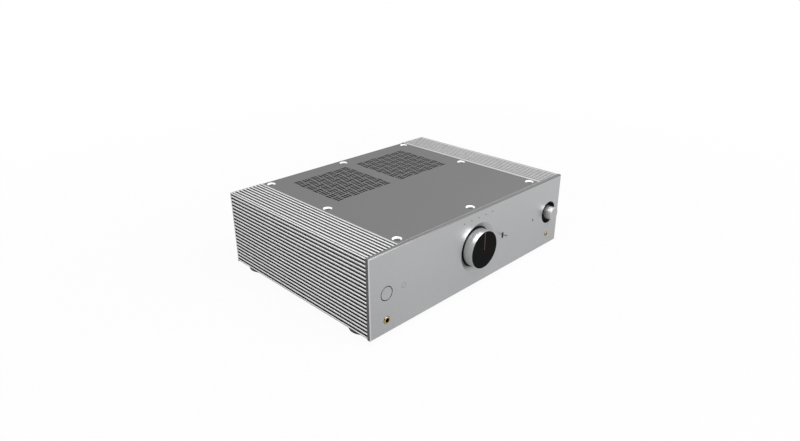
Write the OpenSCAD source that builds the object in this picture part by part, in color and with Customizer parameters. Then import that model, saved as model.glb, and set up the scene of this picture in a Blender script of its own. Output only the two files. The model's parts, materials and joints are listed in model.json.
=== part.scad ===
// Full-width network preamplifier. Two finned side extrusions carry the front panel, the slotted
// top cover, the bottom plate and the inset rear panel. The origin lies under the middle of the
// whole object, on the surface that the feet stand on. The front face looks along -Y.

/* [Body] */
// Width across the two side extrusions
body_w = 430; // [410:1:450]
// Height of the body above its feet
body_h = 118.2; // [114:0.2:126]
// Depth from the front face to the rear ends of the extrusions
body_d = 316.4; // [306:0.2:340]
// Thickness of the front panel
panel_t = 6; // [5:0.5:7]
// Chamfer round the front edges of the front panel
panel_bevel = 1.2; // [0.4:0.1:2]
// Thickness of the top cover
cover_t = 4; // [3.5:0.5:5]
// Thickness of the bottom plate
bottom_t = 2; // [1.5:0.5:3]
// Thickness of the folded sheets behind the front panel and at the rear
sheet_t = 2; // [1.5:0.5:2.5]
// Clearance between neighbouring pieces of the housing
seam = 0.2; // [0.1:0.05:0.3]

/* [Side extrusions] */
// Width of the top strip of fins on each side
strip_w = 56.2; // [54:0.1:60]
// Thickness of the side wall from the fin tips to the hollow
wall_t = 9; // [8:0.5:10]
// Thickness of the upper and lower flanges
flange_t = 9; // [8:0.5:10]
// Height of the fins above the groove floors
fin_depth = 3.5; // [2.5:0.1:4]
// Distance between neighbouring fins on the side wall
side_pitch = 5.78; // [5:0.02:7]
// Distance between neighbouring fins on the top strip
top_pitch = 6.3; // [5.5:0.02:7]
// Width of a fin as a share of its pitch
fin_share = 0.5; // [0.4:0.05:0.6]
// Width of the tongues that the cover and the bottom plate are screwed to
tongue_w = 16.8; // [15:0.1:20]

/* [Top vents] */
// Size of one square cell of the basket weave
vent_cell = 16.05; // [14:0.05:17]
// Cells along each side of a vent
vent_cells = 7; // [5:1:7]
// Slots in one cell
cell_slots = 3; // [2:1:4]
// Width of one slot
slot_w = 2.9; // [2:0.1:3.2]
// Distance of each vent's middle from the middle plane
vent_x = 66.25; // [62:0.25:72]
// Distance of the vents' middle behind the front face
vent_y = 226.6; // [222:0.2:232]

/* [Controls] */
// Distance of the row of controls below the top of the body
axis_down = 58.7; // [56:0.5:62]
// Distance of the outer controls and jacks from the body's ends
column_inset = 29.5; // [27:0.5:32]
// Diameter of the volume knob
volume_d = 58.3; // [54:0.1:60]
// Distance from the front face to the front of the volume knob
knob_out = 11.7; // [9:0.1:14]
// Diameter of the countersunk recess round the volume knob, at the front face
recess_d = 77.2; // [74:0.2:80]
// Diameter of that recess at its floor
recess_floor_d = 63; // [62:0.2:66]
// Diameter of the selector knob
selector_d = 21.8; // [18:0.2:24]
// Diameter of the straight well round the selector knob
selector_well_d = 37.4; // [34:0.2:40]
// Diameter of the power button
power_d = 19.8; // [16:0.2:22]
// Travel of the power button
power_travel = 1.6; // [1:0.1:1.8]
// Distance of the toggle lever from the middle plane
toggle_x = 59.3; // [56:0.1:64]
// Tilt of the toggle lever at rest
toggle_tilt = 9.6; // [6:0.2:11]
// Distance of the remote-control eye from the middle plane
eye_x = 140.3; // [132:0.1:144]
// Distance between neighbouring indicator lights
led_pitch = 16.2; // [14:0.1:18]
// Height of the jacks' axes above the body's underside
jack_z = 19.7; // [19:0.1:24]

/* [Feet] */
// Height of the feet
foot_h = 10; // [8:0.5:14]
// Diameter of the feet
foot_d = 40; // [34:1:44]
// Distance of the feet's axes from the body's ends
foot_inset = 25; // [23:0.5:28]

/* [Rear] */
// Distance from the extrusions' rear ends to the outer face of the rear panel
rear_inset = 3; // [2.5:0.5:6]
// Reach of the ground post behind the extrusions
rear_out = 12; // [10:0.5:14]
// Height of the upper row of phono sockets above the body's underside
phono_z = 80; // [74:0.5:84]
// Distance between neighbouring phono sockets
phono_pitch = 24; // [20:0.5:25]

/* [Hidden] */
$fn = 48;
over = 0.5;
free = 0.05;

// Main planes of the body
out_x = body_w / 2;
base_z = foot_h;
top_z = foot_h + body_h;
front_y = knob_out - (knob_out + body_d + rear_out) / 2;
panel_back = front_y + panel_t;
sheet_back = panel_back + sheet_t;
rear_y = front_y + body_d;
rear_face = rear_y - rear_inset;
rear_in = rear_face - sheet_t;
cover_under = top_z - cover_t;
plate_top = base_z + bottom_t;

// Side extrusion
seam_x = out_x - strip_w;
tongue_x = seam_x - tongue_w;
inner_x = out_x - wall_t;
groove_x = out_x - fin_depth;
groove_z = top_z - fin_depth;
side_fin_w = side_pitch * fin_share;
top_fin_w = top_pitch * fin_share;
side_first = 2.33;
top_first = 6.27;
side_fins = floor((body_h - fin_depth - side_first) / side_pitch) + 1;
top_fins = floor((strip_w - fin_depth - top_first) / top_pitch) + 1;
fin_root = 1;
lip_w = 3;
// The land that closes the grooves at the rear, and how far it stays below the fin tips
land_t = 2;
land_drop = 0.2;
corner_fin_w = 2;
boss_r = 5.5;
boss_in = 4;
boss_x = inner_x - boss_in;
boss_low = base_z + flange_t + boss_in;
boss_high = top_z - flange_t - boss_in;

// Screws: shank, head diameter and head height of the sizes used. The cover's screws have low heads.
m3 = [3, 5.6, 1.8];
m4 = [4, 7, 2.2];
low_m4 = [4, 6.4, 1.2];
flat_head_d = 7.2;
flat_socket_d = 2.5;
flat_screw_l = 12;
socket_share = 0.42;
socket_floor = 0.35;
screw_end = 2;

// Top cover screws
recess_top_d = 13.5;
recess_low_d = 7;
recess_deep = 3;
cover_screw_shift = 1.4;
cover_screw_x = seam_x - tongue_w / 2 - cover_screw_shift;
cover_screw_front = 18;
cover_screw_rear = 14.4;
cover_screw_l = flange_t - recess_deep;
cover_bevel = 1.2;
cover_screw_ys = [
    front_y + cover_screw_front,
    (front_y + cover_screw_front + rear_y - cover_screw_rear) / 2,
    rear_y - cover_screw_rear
];

// Folded sheets
sheet_x = inner_x - seam;
fold_gap = 2;
mid_x = tongue_x - fold_gap;
fold_front = 20;
fold_rear = 16;

// Controls
column_x = out_x - column_inset;
control_z = top_z - axis_down;
volume_recess_deep = 5.2;
knob_back = 4.3;
volume_r = volume_d / 2;
rim_w = 0.5;
face_d = volume_d - 2 * rim_w;
face_t = 0.8;
knob_bevel = 0.3;
pointer_w = 1.2;
pointer_t = 0.3;
pointer_end = 0.6;
volume_pocket_d = 18;
volume_cap_t = 4;
selector_pocket_d = 13;
selector_cap_t = 3;
selector_bevel = 0.6;
pocket_over = 1;
shaft_gap = 0.4;
shaft_tail = 6;
bore_tail = 8;
shaft_d = 6;
bushing_d = 9;
bushing_out = 4;
nut_t = 2.5;
nut_d = 14;
volume_box = [26, 26, 20];
motor_d = 20;
motor_l = 24;
selector_bushing_d = 7.4;
selector_nut_d = 11;
selector_box = [14, 14, 9];
selector_out = knob_out - 0.7;
button_gap = 0.5;
button_stop = 0.2;
stem_tail = 8;
stem_room = 12;
stem_d = 7;
switch_box = [18, 18, 16];
toggle_slot = [4.2, 9.5];
toggle_out = 9.4;
toggle_pivot = 3.4;
lever_t = 1.4;
lever_h = 2;
lever_pocket = 1;
toggle_inset = 1;
toggle_rim = 1;
toggle_box = [9, 15, 12];
led_d = 1.8;
led_x = -2;
led_down = 10.5;
led_z = top_z - led_down;
eye_d = 3.5;
eye_inset = 0.2;

// Board behind the front panel
board_t = 1.6;
front_board_gap = 6;
front_board_y = sheet_back + front_board_gap;

// Front jacks
jack_plug_d = 6.4;
jack_ring_d = 11.5;
jack_sleeve_d = 9.4;
jack_box = [16, 15, 30];
mini_plug_d = 3.6;
mini_ring_d = 7.5;
mini_sleeve_d = 6;
mini_box = [11, 12, 15];
jack_end_t = 3;
ring_t = 0.8;
jack_axis_z = base_z + jack_z;

// Feet
foot_xs = [-(out_x - foot_inset), out_x - foot_inset];
foot_front = 42;
foot_rear = 31;
foot_ys = [front_y + foot_front, rear_y - foot_rear];
pad_d = foot_d - 6;
pad_t = 3;
pad_pocket = 1.5;
foot_counterbore_d = 8.2;
foot_head_room = 3;
foot_bevel = 1;
foot_hole_end = 1;

// Inside of the case
standoff_h = 8;
standoff_d = 6;
standoff_floor = 1;
board_z = plate_top + standoff_h;
board_top = board_z + board_t;
board_side = 4;
main_board_left = -8;
main_board_rear = 3;
main_board_l = 157;
main_board_x = [main_board_left, tongue_x - board_side];
main_board_y = [rear_in - main_board_rear - main_board_l, rear_in - main_board_rear];
main_hole_shift = 10;
main_hole_rear = 30;
power_board_right = -26;
power_board_rear = 10;
power_board_l = 108;
power_board_x = [board_side - tongue_x, power_board_right];
power_board_y = [rear_in - power_board_rear - power_board_l, rear_in - power_board_rear];
board_hole_in = 6;
toroid_r = 46;
toroid_back = 92;
toroid_x = power_board_x[0] + toroid_r;
toroid_y = front_y + toroid_back;
toroid_hole_r = 14;
toroid_h = 44;
toroid_round = 9;
washer_in = 2;
washer_t = 3;
bolt_d = 6;
bolt_head = [10, 4];
bolt_nut = [11, 4];
bolt_end = 5;
capacitor_d = 25;
capacitor_h = 40;
capacitor_pitch = 30;
capacitor_in = [32, 24];
capacitor_x = power_board_x[0] + capacitor_in.x;
capacitor_y = power_board_y[0] + capacitor_in.y;
sink_gap = 3.5;
sink_in = 30;
sink_size = [4, 44, 26];
chip_first = [26, 100];
chip_pitch = [24, 16];
chip_size = [10, 7, 3];
module_size = [62, 46, 8];
module_shift = 3;
module_in = 62;
module_x = (main_board_x[0] + main_board_x[1]) / 2 - module_shift;
module_y = main_board_y[0] + module_in;

// Rear connectors
low_phono_z = phono_z - phono_pitch;
phono_first_x = -62;
phono_pairs = 4;
phono_shell_d = 8.3;
phono_core_d = 6.4;
phono_pin_hole = 3.2;
phono_out = 11;
phono_collar = [14, 1.5];
phono_nut = [12, 2];
phono_inside = 8;
phono_tip = 1.5;
phono_floor = 2;
xlr_xs = [50, 82, 114, 146];
xlr_z = phono_z - phono_pitch / 2;
xlr_flange = [26, 31, 1.6];
xlr_shell_d = 23.6;
xlr_wall = 1.6;
xlr_inside = 20;
xlr_recess = 12;
xlr_insert_t = 5;
xlr_face_in = 2;
xlr_hole_floor = 4;
xlr_pin_d = 2.4;
xlr_hole_d = 2.6;
xlr_contact_r = 4.2;

// Board-mounted sockets: they stand on whole steps from the main board's left end.
socket_step = (main_board_x[1] - main_board_x[0]) / 36.5;
ethernet_x = main_board_x[0] + 7 * socket_step;
ethernet_box = [16.4, 13.6, 20];
ethernet_port = [12, 8, 14];
usb_x = main_board_x[0] + 14 * socket_step;
usb_box = [15, 7.6, 16];
usb_port = [12.6, 5, 12];
optical_xs = [main_board_x[0] + 20 * socket_step, main_board_x[0] + 24 * socket_step];
optical_box = [10, 10, 14];
optical_port = [5.4, 5.4, 9];
trigger_xs = [main_board_x[0] + 29 * socket_step, main_board_x[0] + 33 * socket_step];
trigger_box = [10, 11, 13];
trigger_out = 1;

// Mains inlet, mains switch and ground post
inlet_x = -166;
inlet_up = 44;
inlet_z = base_z + inlet_up;
inlet_flange = [31, 42, 2];
inlet_body = [27, 38, 22];
inlet_port = [24.4, 16.6, 16];
inlet_port_up = 8;
inlet_blade = [2, 4, 11];
inlet_blade_places = [[-7, -2], [0, 2], [7, -2]];
drawer_up = -12.5;
drawer_size = [20, 7, 17];
drawer_lip = [24, 9.6, 1.6];
drawer_free = 0.25;
drawer_room = 1;
drawer_end = 0.5;
switch_x = -124;
switch_z = inlet_z;
switch_flange = [15.4, 21.4, 2];
switch_body = [13, 19, 18];
switch_recess = [11.2, 17.6, 5.6];
rocker_size = [10.6, 15.8];
rocker_pin_d = 2.4;
rocker_pin_l = 12.2;
rocker_deep = 2.2;
rocker_low = 1.4;
rocker_middle = 2;
rocker_high = 3.4;
rocker_tilt = 8;
post_x = -92;
post_z = base_z + phono_z;
post_d = 6;
post_knob_d = 11;
post_tail = 8;
post_nut_t = 2.4;
post_cap_up = 5;
post_tip = 2;

aluminium = [0.70, 0.71, 0.72];
cover_grey = [0.50, 0.50, 0.51];
black = [0.09, 0.09, 0.10];
steel = [0.55, 0.56, 0.58];
gold = [0.83, 0.66, 0.33];
board_green = [0.10, 0.30, 0.18];

// Places its children on the front face: +X right, +Y up, +Z out of the panel.
module at_front(x, z) {
    translate([x, front_y, z]) rotate([90, 0, 0]) children();
}

// Places its children on the rear panel: +X is the object's -X, +Y up, +Z out of the rear panel.
module at_rear(x, z) {
    translate([x, rear_face, z]) rotate([90, 0, 180]) children();
}

// Box from size [across, up, deep] that starts at the height `from` and reaches inwards.
module block(size, from = 0) {
    translate([-size.x / 2, -size.y / 2, from - size.z]) cube(size);
}

// Flat bar with round ends, in the plane.
module slot(length, width) {
    square([length - width, width], center = true);
    for (side = [-1, 1])
        translate([side * (length - width) / 2, 0]) circle(d = width);
}

// One cooling fin in the plane: it rises along +X from its root and has a round tip.
module fin(width, height) {
    translate([-fin_root, -width / 2]) square([fin_root + height - width / 2, width]);
    translate([height - width / 2, 0]) circle(d = width);
}

// Screw with a socket head. The underside of the head is at zero and the shank points down.
module screw(size, length) {
    difference() {
        cylinder(d = size[1], h = size[2]);
        translate([0, 0, size[2] * socket_floor]) cylinder(d = size[1] * socket_share, h = size[2], $fn = 6);
    }
    translate([0, 0, -length]) cylinder(d = size[0], h = length);
}

// Countersunk screw whose head is flush at zero. The shank points down.
module flat_screw(length) {
    difference() {
        translate([0, 0, -sheet_t]) cylinder(d1 = m4[0], d2 = flat_head_d, h = sheet_t);
        translate([0, 0, -sheet_t / 2]) cylinder(d = flat_socket_d, h = sheet_t, $fn = 6);
    }
    translate([0, 0, -length]) cylinder(d = m4[0], h = length - sheet_t);
}

// Countersink for flat_screw in a sheet whose outer face is at zero.
module flat_screw_hole() {
    translate([0, 0, -sheet_t]) cylinder(d1 = m4[0] + 2 * free, d2 = flat_head_d + 2 * free, h = sheet_t);
    translate([0, 0, -sheet_t - over]) cylinder(d = m4[0] + 2 * free, h = sheet_t);
}

// Front panel
module panel_blank() {
    intersection() {
        translate([0, 0, base_z]) linear_extrude(body_h) polygon([
            [-out_x, panel_back], [-out_x, front_y + panel_bevel], [-out_x + panel_bevel, front_y],
            [out_x - panel_bevel, front_y], [out_x, front_y + panel_bevel], [out_x, panel_back]
        ]);
        translate([-out_x, 0, 0]) rotate([90, 0, 90]) linear_extrude(body_w) polygon([
            [panel_back, base_z], [front_y + panel_bevel, base_z], [front_y, base_z + panel_bevel],
            [front_y, top_z - panel_bevel], [front_y + panel_bevel, top_z], [panel_back, top_z]
        ]);
    }
}

module panel_hole(d) {
    translate([0, 0, -panel_t - over]) cylinder(d = d, h = panel_t + 2 * over);
}

panel_screw_in = 24;
panel_screw_mid = 48;
panel_screw_up = 22;
panel_thread = 0.7;
panel_screw_share = 0.6;
panel_screw_xs = [-(mid_x - panel_screw_in), -panel_screw_mid, panel_screw_mid, mid_x - panel_screw_in];
panel_screw_zs = [base_z + panel_screw_up, top_z - panel_screw_in];

module panel_screw_places() {
    for (x = panel_screw_xs, z = panel_screw_zs)
        translate([x, sheet_back, z]) rotate([-90, 0, 0]) children();
}

module front_panel() {
    color(aluminium) difference() {
        panel_blank();
        at_front(0, control_z) {
            panel_hole(recess_floor_d);
            translate([0, 0, -volume_recess_deep])
                cylinder(d1 = recess_floor_d, d2 = recess_d, h = volume_recess_deep);
        }
        at_front(column_x, control_z) panel_hole(selector_well_d);
        at_front(-column_x, control_z) panel_hole(power_d + 2 * button_gap);
        at_front(toggle_x, control_z) translate([0, 0, -panel_t - over])
            linear_extrude(panel_t + 2 * over) square(toggle_slot, center = true);
        at_front(eye_x, control_z) panel_hole(eye_d + 2 * free);
        for (k = [-2:2])
            at_front(led_x + k * led_pitch, led_z) panel_hole(led_d + 2 * free);
        at_front(-column_x, jack_axis_z) panel_hole(jack_sleeve_d + 2 * free);
        at_front(column_x, jack_axis_z) panel_hole(mini_sleeve_d + 2 * free);
        panel_screw_places()
            translate([0, 0, -sheet_t - panel_t * panel_thread])
                cylinder(d = m3[0] + 2 * free, h = panel_t * panel_thread);
    }
}

// Folded sheet with an upper and a lower flange in the middle. It reaches from y0 to y0 + sheet_t,
// and the flanges reach from there to fold_y.
module folded_sheet(y0, fold_y) {
    translate([-sheet_x, y0, base_z + flange_t + seam])
        cube([2 * sheet_x, sheet_t, body_h - 2 * flange_t - 2 * seam]);
    translate([-mid_x, y0, plate_top]) cube([2 * mid_x, sheet_t, cover_under - plate_top]);
    low_y = min(y0, fold_y);
    deep = max(y0 + sheet_t, fold_y) - low_y;
    translate([-mid_x, low_y, plate_top]) cube([2 * mid_x, deep, sheet_t]);
    translate([-mid_x, low_y, cover_under - sheet_t]) cube([2 * mid_x, deep, sheet_t]);
}

module corner_bosses() {
    for (x = [-boss_x, boss_x], z = [boss_low, boss_high]) translate([x, 0, z]) children();
}

module front_subframe() {
    color(black) difference() {
        folded_sheet(panel_back, sheet_back + fold_front);
        at_front(0, control_z) sheet_hole(bushing_d + 2 * free);
        at_front(column_x, control_z) sheet_hole(selector_bushing_d + 2 * free);
        at_front(-column_x, control_z) sheet_hole(stem_d + 4 * free);
        at_front(toggle_x, control_z) translate([0, 0, -panel_t - sheet_t - over])
            linear_extrude(sheet_t + 2 * over) square(toggle_slot, center = true);
        at_front(eye_x, control_z) sheet_hole(eye_d + 2 * free);
        for (k = [-2:2])
            at_front(led_x + k * led_pitch, led_z) sheet_hole(led_d + 2 * free);
        at_front(-column_x, jack_axis_z) sheet_hole(jack_sleeve_d + 2 * free);
        at_front(column_x, jack_axis_z) sheet_hole(mini_sleeve_d + 2 * free);
        panel_screw_places() translate([0, 0, -sheet_t - over])
            cylinder(d = m3[0] + 2 * free, h = sheet_t + 2 * over);
        translate([0, panel_back, 0]) corner_bosses() rotate([90, 0, 0]) flat_screw_hole();
        middle_screw_holes(front_y + cover_screw_front);
    }
}

module sheet_hole(d) {
    translate([0, 0, -panel_t - sheet_t - over]) cylinder(d = d, h = sheet_t + 2 * over);
}

// Screw holes in the flanges of a folded sheet, in the middle of the cover and of the bottom plate.
module middle_screw_holes(y) {
    translate([0, y, cover_under - sheet_t - over]) cylinder(d = m4[0] + 2 * free, h = sheet_t + 2 * over);
    translate([0, y, plate_top - over]) cylinder(d = m3[0] + 2 * free, h = sheet_t + 2 * over);
}

module subframe_screws() {
    color(steel) translate([0, panel_back, 0]) corner_bosses() rotate([90, 0, 0]) flat_screw(flat_screw_l);
}

module panel_screws() {
    color(steel) panel_screw_places() screw(m3, sheet_t + panel_t * panel_screw_share);
}

// Section of the right-hand extrusion, in the plane of X and Z.
module extrusion_section() {
    difference() {
        union() {
            translate([tongue_x, base_z]) square([groove_x - tongue_x, body_h - fin_depth]);
            for (k = [0:side_fins - 1])
                translate([groove_x, base_z + side_first + k * side_pitch]) fin(side_fin_w, fin_depth);
            for (k = [0:top_fins - 1])
                translate([seam_x + top_first + k * top_pitch, groove_z]) rotate(90)
                    fin(top_fin_w, fin_depth);
            translate([seam_x, groove_z - fin_root]) square([lip_w, fin_depth + fin_root]);
            translate([groove_x, groove_z]) rotate(45)
                fin(corner_fin_w, (fin_depth - corner_fin_w / 2) * sqrt(2) + corner_fin_w / 2);
        }
        translate([tongue_x - over, cover_under]) square([tongue_w + over, cover_t + over]);
        translate([tongue_x - over, base_z - over]) square([tongue_w + over, bottom_t + over]);
        translate([tongue_x - over, base_z + flange_t])
            square([inner_x - tongue_x + over, body_h - 2 * flange_t]);
    }
    for (z = [boss_low, boss_high]) difference() {
        translate([boss_x, z]) circle(r = boss_r);
        translate([boss_x, z]) circle(d = m4[0] + 2 * free);
    }
}

bottom_screw_front = 30;
bottom_screw_rear = 26;
bottom_screw_ys = [
    front_y + bottom_screw_front, (front_y + rear_y) / 2, rear_y - bottom_screw_rear
];

module land_section() {
    translate([seam_x, groove_z - fin_root]) square([strip_w - land_drop, fin_depth + fin_root - land_drop]);
    translate([groove_x - fin_root, base_z]) square([fin_depth + fin_root - land_drop, body_h - land_drop]);
}

module side_profile() {
    difference() {
        union() {
            translate([0, rear_y, 0]) rotate([90, 0, 0]) linear_extrude(body_d - panel_t)
                extrusion_section();
            translate([0, rear_y, 0]) rotate([90, 0, 0]) linear_extrude(land_t) land_section();
        }
        // The screw bosses stop short of the folded sheets.
        translate([inner_x - 2 * boss_r - boss_in, panel_back - over, base_z + flange_t])
            cube([2 * boss_r + boss_in, sheet_t + over, body_h - 2 * flange_t]);
        translate([inner_x - 2 * boss_r - boss_in, rear_in, base_z + flange_t])
            cube([2 * boss_r + boss_in, sheet_t + rear_inset + over, body_h - 2 * flange_t]);
        for (y = cover_screw_ys)
            translate([cover_screw_x, y, cover_under - flange_t])
                cylinder(d = m4[0] + 2 * free, h = flange_t + over);
        for (y = bottom_screw_ys)
            translate([cover_screw_x, y, base_z]) cylinder(d = m3[0] + 2 * free, h = flange_t + over);
        for (y = foot_ys)
            translate([out_x - foot_inset, y, base_z - over])
                cylinder(d = m4[0] + 2 * free, h = flange_t - foot_hole_end);
    }
}

module side_profile_right() {
    color(aluminium) side_profile();
}

module side_profile_left() {
    color(aluminium) mirror([1, 0, 0]) side_profile();
}

// Basket weave: square cells of parallel slots that change direction from cell to cell.
module weave_vent() {
    middle = (vent_cells - 1) / 2;
    slot_pitch = vent_cell / cell_slots;
    for (row = [0:vent_cells - 1], col = [0:vent_cells - 1])
        translate([(col - middle) * vent_cell, (middle - row) * vent_cell])
            rotate((row + col) % 2 == 1 ? 90 : 0)
                for (k = [0:cell_slots - 1])
                    translate([0, (k - (cell_slots - 1) / 2) * slot_pitch])
                        slot(vent_cell - slot_w, slot_w);
}

cover_front = panel_back + seam;

module cover_screw_places() {
    for (x = [-cover_screw_x, cover_screw_x], y = cover_screw_ys)
        translate([x, y, top_z - recess_deep]) children();
    for (y = [cover_screw_ys[0], cover_screw_ys[2]])
        translate([0, y, top_z - recess_deep]) children();
}

module top_cover() {
    color(cover_grey) difference() {
        translate([0, 0, cover_under]) linear_extrude(cover_t) difference() {
            translate([seam - seam_x, cover_front])
                square([2 * (seam_x - seam), rear_face - cover_front]);
            for (side = [-1, 1])
                translate([side * vent_x, front_y + vent_y]) weave_vent();
        }
        cover_screw_places() {
            cylinder(d1 = recess_low_d, d2 = recess_top_d, h = recess_deep);
            translate([0, 0, -cover_t]) cylinder(d = m4[0] + 2 * free, h = cover_t + over);
        }
        // Bevel of the front edge
        translate([-seam_x, cover_front, top_z]) rotate([45, 0, 0])
            cube([2 * seam_x, cover_bevel, cover_bevel]);
    }
}

module cover_screws() {
    color(steel) cover_screw_places() screw(low_m4, cover_screw_l);
}

module bottom_screw_places() {
    for (x = [-cover_screw_x, cover_screw_x], y = bottom_screw_ys)
        translate([x, y, base_z]) rotate([180, 0, 0]) children();
    for (y = [front_y + cover_screw_front, rear_y - cover_screw_rear])
        translate([0, y, base_z]) rotate([180, 0, 0]) children();
}

bottom_slot = [44, 3.4];
bottom_slot_pitch = 8;

// Row of cooling slots in the bottom plate, under a board.
module bottom_vent(middle_x) {
    for (k = [-5:5])
        translate([middle_x + k * bottom_slot_pitch, (power_board_y[0] + power_board_y[1]) / 2])
            rotate(90) slot(bottom_slot[0], bottom_slot[1]);
}

module bottom_plate() {
    color(steel) difference() {
        translate([0, 0, base_z]) linear_extrude(bottom_t) difference() {
            translate([seam - seam_x, cover_front])
                square([2 * (seam_x - seam), rear_face - cover_front]);
            bottom_vent((main_board_x[0] + main_board_x[1]) / 2);
            bottom_vent((power_board_x[0] + power_board_x[1]) / 2);
        }
        bottom_screw_places() translate([0, 0, -bottom_t - over])
            cylinder(d = m3[0] + 2 * free, h = bottom_t + 2 * over);
        translate([toroid_x, toroid_y, base_z - over])
            cylinder(d = bolt_d + 2 * free, h = bottom_t + 2 * over);
    }
}

module bottom_screws() {
    color(steel) bottom_screw_places() screw(m3, flange_t - screw_end);
}

// Feet
module foot_places() {
    for (x = foot_xs, y = foot_ys) translate([x, y, 0]) children();
}

module feet() {
    color(black) foot_places() difference() {
        union() {
            translate([0, 0, pad_pocket])
                cylinder(d1 = foot_d - 2 * foot_bevel, d2 = foot_d, h = foot_bevel);
            translate([0, 0, pad_pocket + foot_bevel])
                cylinder(d = foot_d, h = foot_h - pad_pocket - foot_bevel);
        }
        translate([0, 0, pad_pocket - over]) cylinder(d = pad_d + 2 * free, h = pad_t - pad_pocket + over);
        translate([0, 0, pad_t - over]) cylinder(d = foot_counterbore_d, h = foot_head_room + over);
        cylinder(d = m4[0] + 2 * free, h = foot_h + over);
    }
}

module foot_pads() {
    color(black) foot_places() cylinder(d = pad_d, h = pad_t);
}

module foot_screws() {
    color(steel) foot_places() translate([0, 0, pad_t + foot_head_room]) rotate([180, 0, 0])
        screw(m4, foot_h - pad_t - foot_head_room + flange_t - screw_end);
}

// Volume control
module nut(across, bore, thickness) {
    difference() {
        cylinder(d = across, h = thickness, $fn = 6);
        translate([0, 0, -over]) cylinder(d = bore + 2 * free, h = thickness + 2 * over);
    }
}

// Pocket for the nut and bore for the shaft in the back of a knob.
module knob_bores(pocket_d, bore_end) {
    translate([0, 0, -knob_back - over]) {
        cylinder(d = pocket_d, h = knob_back + pocket_over + over);
        cylinder(d = shaft_d + 2 * free, h = knob_back + over + bore_end);
    }
}

// Shaft that reaches from behind the folded sheet to the height `end` in front of the panel.
module control_shaft(end) {
    translate([0, 0, -panel_t - sheet_t - shaft_tail])
        cylinder(d = shaft_d, h = panel_t + sheet_t + shaft_tail + end);
}

module volume_knob() {
    color(aluminium) at_front(0, control_z) difference() {
        union() {
            translate([0, 0, -knob_back]) cylinder(r = volume_r, h = knob_back + knob_out - knob_bevel);
            translate([0, 0, knob_out - knob_bevel])
                cylinder(r1 = volume_r, r2 = volume_r - knob_bevel, h = knob_bevel);
        }
        translate([0, 0, knob_out - face_t]) cylinder(d = face_d + 2 * free, h = face_t + over);
        knob_bores(volume_pocket_d, knob_out - volume_cap_t);
    }
}

module volume_knob_face() {
    color(black) at_front(0, control_z) translate([0, 0, knob_out - face_t]) difference() {
        cylinder(d = face_d, h = face_t);
        translate([-pointer_w / 2, 0, face_t - pointer_t]) cube([pointer_w, face_d, face_t]);
    }
}

module volume_pointer() {
    color([0.72, 0.42, 0.22]) at_front(0, control_z)
        translate([-pointer_w / 2, 0, knob_out - pointer_t])
            cube([pointer_w, face_d / 2 - pointer_end, pointer_t]);
}

module volume_shaft() {
    color(steel) at_front(0, control_z) control_shaft(knob_out - volume_cap_t - shaft_gap);
}

// Pot, encoder or jack body with a threaded bushing, behind the folded sheet.
module bushed_body(size, bushing, reach, bore) {
    translate([0, 0, -panel_t - sheet_t]) difference() {
        union() {
            block(size);
            cylinder(d = bushing, h = sheet_t + reach);
        }
        translate([0, 0, -bore_tail]) cylinder(d = bore, h = bore_tail + sheet_t + reach + over);
    }
}

module volume_control() {
    color(steel) at_front(0, control_z) {
        bushed_body(volume_box, bushing_d, bushing_out, shaft_d + 2 * free);
        translate([0, 0, -panel_t - sheet_t - volume_box.z - motor_l]) cylinder(d = motor_d, h = motor_l);
    }
}

module volume_nut() {
    color(steel) at_front(0, control_z) translate([0, 0, -panel_t]) nut(nut_d, bushing_d, nut_t);
}

// Input selector
module selector_knob() {
    color(aluminium) at_front(column_x, control_z) difference() {
        union() {
            translate([0, 0, -knob_back])
                cylinder(d = selector_d, h = knob_back + selector_out - selector_bevel);
            translate([0, 0, selector_out - selector_bevel])
                cylinder(d1 = selector_d, d2 = selector_d - 2 * selector_bevel, h = selector_bevel);
        }
        knob_bores(selector_pocket_d, selector_out - selector_cap_t);
    }
}

module selector_shaft() {
    color(steel) at_front(column_x, control_z) control_shaft(selector_out - selector_cap_t - shaft_gap);
}

module selector_switch() {
    color(steel) at_front(column_x, control_z)
        bushed_body(selector_box, selector_bushing_d, bushing_out, shaft_d + 2 * free);
}

module selector_nut() {
    color(steel) at_front(column_x, control_z) translate([0, 0, -panel_t])
        nut(selector_nut_d, selector_bushing_d, nut_t);
}

// Power button
module power_button() {
    color(aluminium) at_front(-column_x, control_z) {
        head_t = panel_t - power_travel - button_stop;
        translate([0, 0, -head_t]) cylinder(d = power_d, h = head_t);
        translate([0, 0, -panel_t - sheet_t - stem_tail])
            cylinder(d = stem_d, h = panel_t + sheet_t + stem_tail - head_t);
    }
}

module power_switch() {
    color(black) at_front(-column_x, control_z) translate([0, 0, -panel_t - sheet_t]) difference() {
        block(switch_box);
        translate([0, 0, -stem_room]) cylinder(d = stem_d + 2 * free, h = stem_room + over);
    }
}

// Toggle
module toggle_lever() {
    reach = (toggle_pivot + toggle_out) / cos(toggle_tilt);
    color(steel) at_front(toggle_x, control_z) translate([0, 0, -toggle_pivot])
        rotate([-toggle_tilt, 0, 0]) {
            rotate([0, 90, 0]) cylinder(r = lever_h, h = lever_t, center = true);
            translate([-lever_t / 2, -lever_h / 2, 0]) cube([lever_t, lever_h, reach]);
        }
}

module toggle_body() {
    color(black) at_front(toggle_x, control_z) difference() {
        union() {
            translate([0, 0, -panel_t - sheet_t]) block(toggle_box);
            translate([0, 0, -panel_t - sheet_t]) linear_extrude(panel_t + sheet_t - toggle_inset)
                square([toggle_slot.x - 2 * free, toggle_slot.y - 2 * free], center = true);
        }
        translate([0, 0, -panel_t - lever_pocket]) linear_extrude(panel_t + lever_pocket + over)
            square([lever_t + 2 * free, toggle_slot.y - 2 * toggle_rim], center = true);
    }
}

// Indicator lights and remote-control eye
module input_leds() {
    color([0.2, 0.2, 0.2]) for (k = [-2:2])
        at_front(led_x + k * led_pitch, led_z) translate([0, 0, front_y - front_board_y])
            cylinder(d = led_d, h = front_board_y - front_y);
}

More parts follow.
